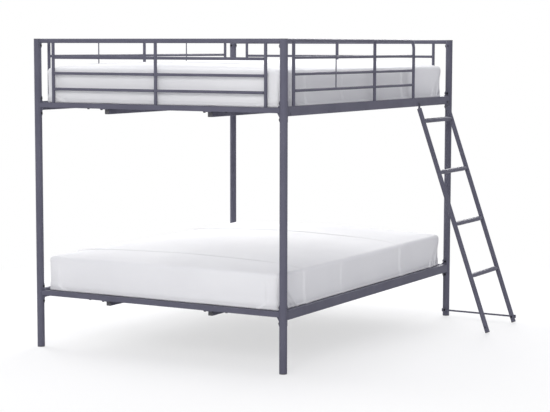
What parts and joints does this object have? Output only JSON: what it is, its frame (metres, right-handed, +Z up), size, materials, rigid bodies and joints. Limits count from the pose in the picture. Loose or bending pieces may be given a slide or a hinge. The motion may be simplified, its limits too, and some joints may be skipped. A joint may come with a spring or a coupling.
{
  "type": "bunk bed",
  "caption": "Dark grey steel tube bunk bed, full over full, with round corner posts, barred guards round the upper deck, a leaning front ladder and white mattresses.",
  "frame": {"origin": "on the floor, under the middle of the whole object's box, which the ladder's feet extend to the front", "axes": "+X along the bed from the plain end to the ladder end, -Y to the ladder side, +Z up"},
  "size_m": [1.981, 1.8978, 1.586],
  "materials": {
    "grey_frame": "satin",
    "black_fasteners": "satin",
    "black_plastic": "matte",
    "mattress_cover": "matte"
  },
  "bodies": {
    "frame": {"back_guard": "grey_frame", "back_guard_tie_rods": "grey_frame", "back_left_post": "grey_frame", "back_right_post": "grey_frame", "brace_bolts": "black_fasteners", "front_guard": "grey_frame", "front_guard_tie_rod": "grey_frame", "front_left_post": "grey_frame", "front_right_post": "grey_frame", "guard_bolts": "black_fasteners", "ladder_bolts": "black_fasteners", "ladder_brace": "grey_frame", "ladder_feet": "black_plastic", "ladder_left_stile": "grey_frame", "ladder_right_stile": "grey_frame", "ladder_rungs": "grey_frame", "ladder_tabs": "grey_frame", "ladder_top_caps": "black_plastic", "left_end_guard": "grey_frame", "lower_back_rail": "grey_frame", "lower_bar_caps": "black_plastic", "lower_bar_hangers": "grey_frame", "lower_deck_screws": "black_fasteners", "lower_front_rail": "grey_frame", "lower_left_end_rail": "grey_frame", "lower_right_end_rail": "grey_frame", "lower_slats": "grey_frame", "lower_support_bars": "grey_frame", "post_caps": "black_plastic", "post_feet": "black_plastic", "rail_bolts": "black_fasteners", "right_end_guard": "grey_frame", "upper_back_rail": "grey_frame", "upper_bar_caps": "black_plastic", "upper_bar_hangers": "grey_frame", "upper_deck_screws": "black_fasteners", "upper_front_rail": "grey_frame", "upper_left_end_rail": "grey_frame", "upper_right_end_rail": "grey_frame", "upper_slats": "grey_frame", "upper_support_bars": "grey_frame"},
    "upper_mattress": {"upper_mattress": "mattress_cover"},
    "lower_mattress": {"lower_mattress": "mattress_cover"}
  },
  "joints": [
    {"name": "upper_mattress_lift", "type": "slide", "parent": "frame", "child": "upper_mattress", "axis": [0, 0, 1], "range_m": [0, 0.4]},
    {"name": "lower_mattress_lift", "type": "slide", "parent": "frame", "child": "lower_mattress", "axis": [0, 0, 1], "range_m": [0, 0.4]}
  ]
}
